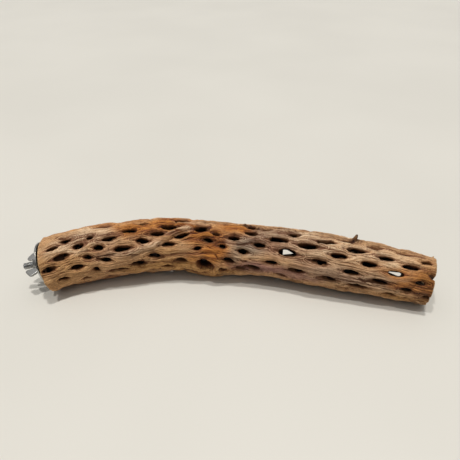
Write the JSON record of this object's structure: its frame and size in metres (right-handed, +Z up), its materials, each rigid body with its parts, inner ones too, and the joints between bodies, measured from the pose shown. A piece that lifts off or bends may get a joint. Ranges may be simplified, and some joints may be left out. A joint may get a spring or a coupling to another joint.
{
  "type": "cholla cactus skeleton perch",
  "caption": "Bent hollow cholla cactus skeleton, a net of wood round lens-shaped holes, with a threaded stud, washers and a wing nut at one end.",
  "frame": {"origin": "on the ground under the middle of the part's box", "axes": "+X along the branch from the stud end to the open end, +Y away from the side with the large knot hole, +Z up"},
  "size_m": [0.3702, 0.0942, 0.0551],
  "materials": {
    "cholla_wood": "dry weathered cactus wood, tan to rust brown and grey, darker in the holes",
    "plug_wood": "plain hardwood, glued in",
    "stud_steel": "zinc plated thread",
    "washer_steel": "zinc plated, smooth",
    "nut_steel": "zinc plated casting"
  },
  "bodies": {
    "root": {"cholla_wood": "cholla_wood", "end_plug": "plug_wood", "stud": "stud_steel", "inner_washer": "washer_steel"},
    "clamp_washer": {"outer_washer": "washer_steel"},
    "nut": {"wing_nut": "nut_steel"}
  },
  "joints": [
    {"name": "clamp_slide", "type": "slide", "parent": "root", "child": "clamp_washer", "axis": [-0.9782, -0.116, -0.172], "range_m": [0, 0.01]},
    {"name": "wing_nut_turn", "type": "hinge", "parent": "clamp_washer", "child": "nut", "pos_m": [-0.16258, -0.00638, 0.02756], "axis": [-0.9782, -0.116, -0.172], "range_deg": [0, 3600]}
  ],
  "couplings": [
    {"joint": "clamp_slide", "follows": "wing_nut_turn", "m_per_rad": 0.000159}
  ]
}
